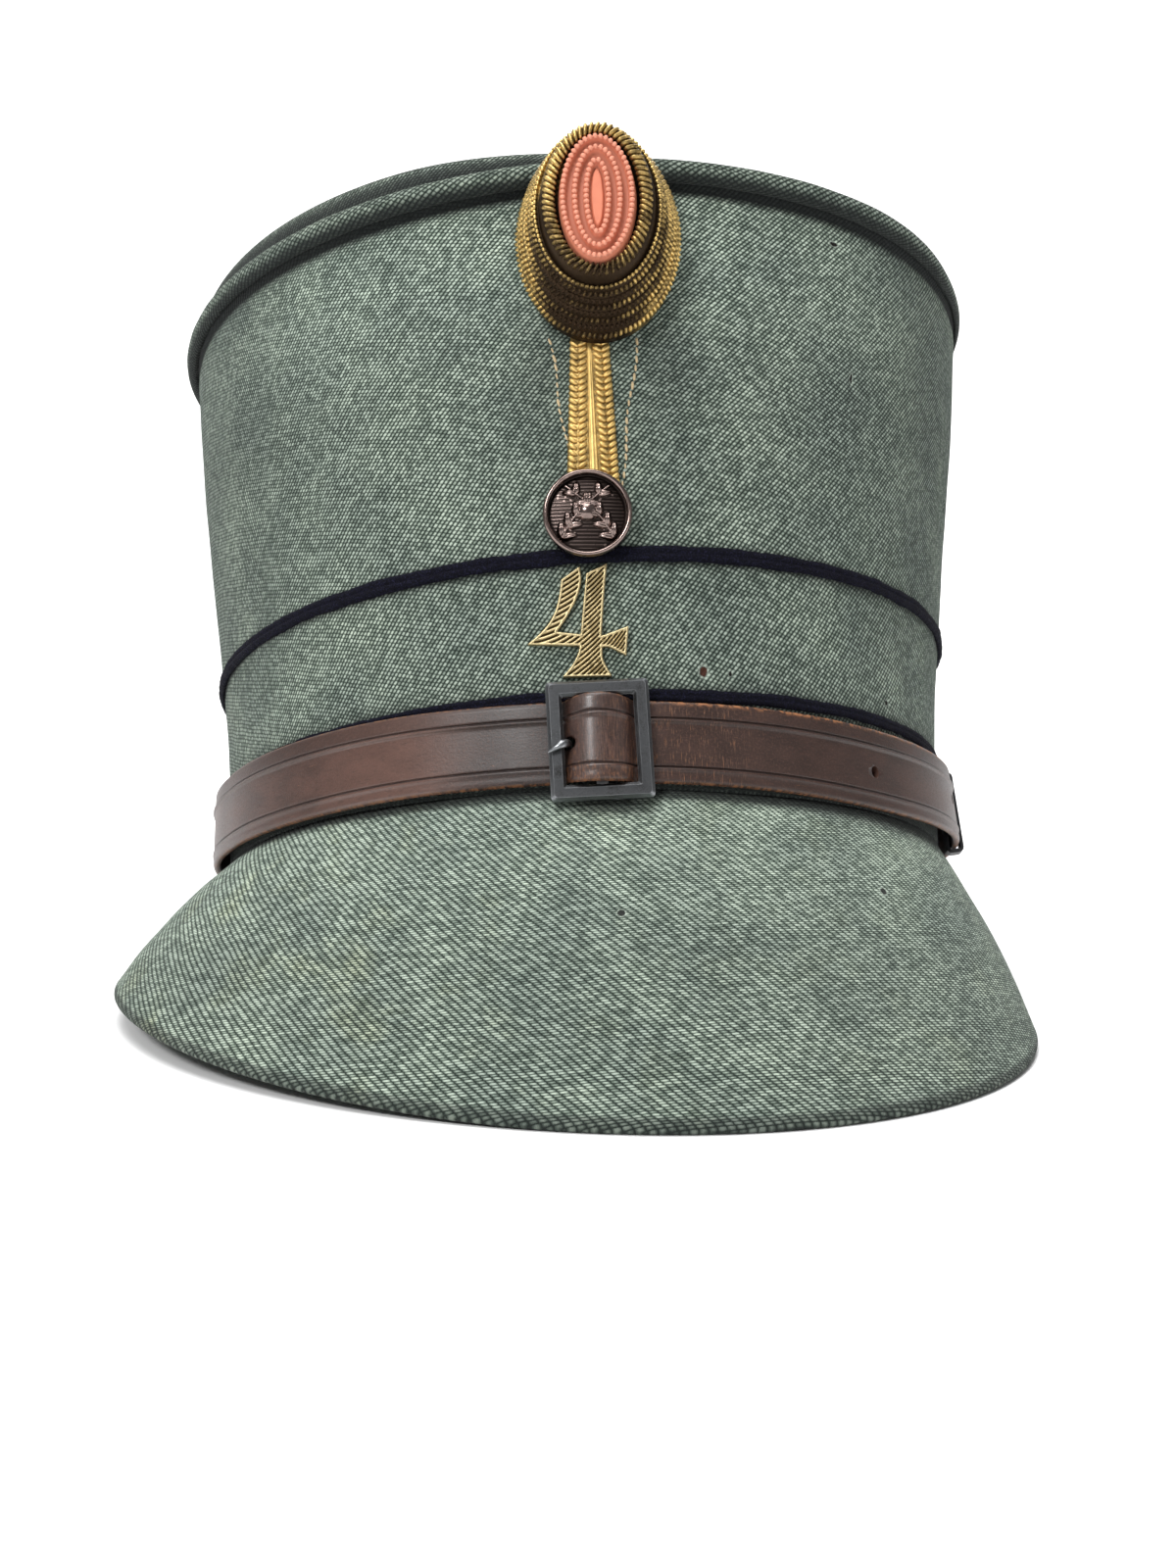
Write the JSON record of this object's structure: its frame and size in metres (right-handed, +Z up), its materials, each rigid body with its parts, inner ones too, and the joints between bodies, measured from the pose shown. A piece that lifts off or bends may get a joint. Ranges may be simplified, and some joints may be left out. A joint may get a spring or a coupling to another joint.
{
  "type": "kepi",
  "caption": "Tall cloth kepi with a flaring oval crown, steep front peak, dark pipings, buckled leather strap, brass numeral, button, gilt loop and oval cockade.",
  "frame": {"origin": "under the middle of the bounding box, on the ground that the kepi stands on", "axes": "+Z up, the front of the kepi looks along -Y, the wearer's left is +X"},
  "size_m": [0.2116, 0.3082, 0.1869],
  "materials": {
    "green_cloth": "matt wool twill",
    "navy_cord": "matt cord",
    "brown_leather": "worn satin",
    "dark_steel": "dull grey",
    "black_metal": "blackened",
    "brass": "dull, aged",
    "dark_bronze": "dark brown patina",
    "gilt_wire": "gilt, part tarnished",
    "orange_enamel": "satin"
  },
  "bodies": {
    "root": {"crown_wall": "green_cloth", "crown_top": "green_cloth", "top_welt": "green_cloth", "peak": "green_cloth", "upper_piping": "navy_cord", "lower_piping": "navy_cord", "chin_strap": "brown_leather", "buckle_frame": "dark_steel", "buckle_prong": "dark_steel", "strap_keeper": "black_metal", "numeral_4": "brass", "button": "dark_bronze", "cockade_loop": "gilt_wire", "cockade_body": "gilt_wire", "cockade_centre": "orange_enamel"}
  },
  "joints": []
}
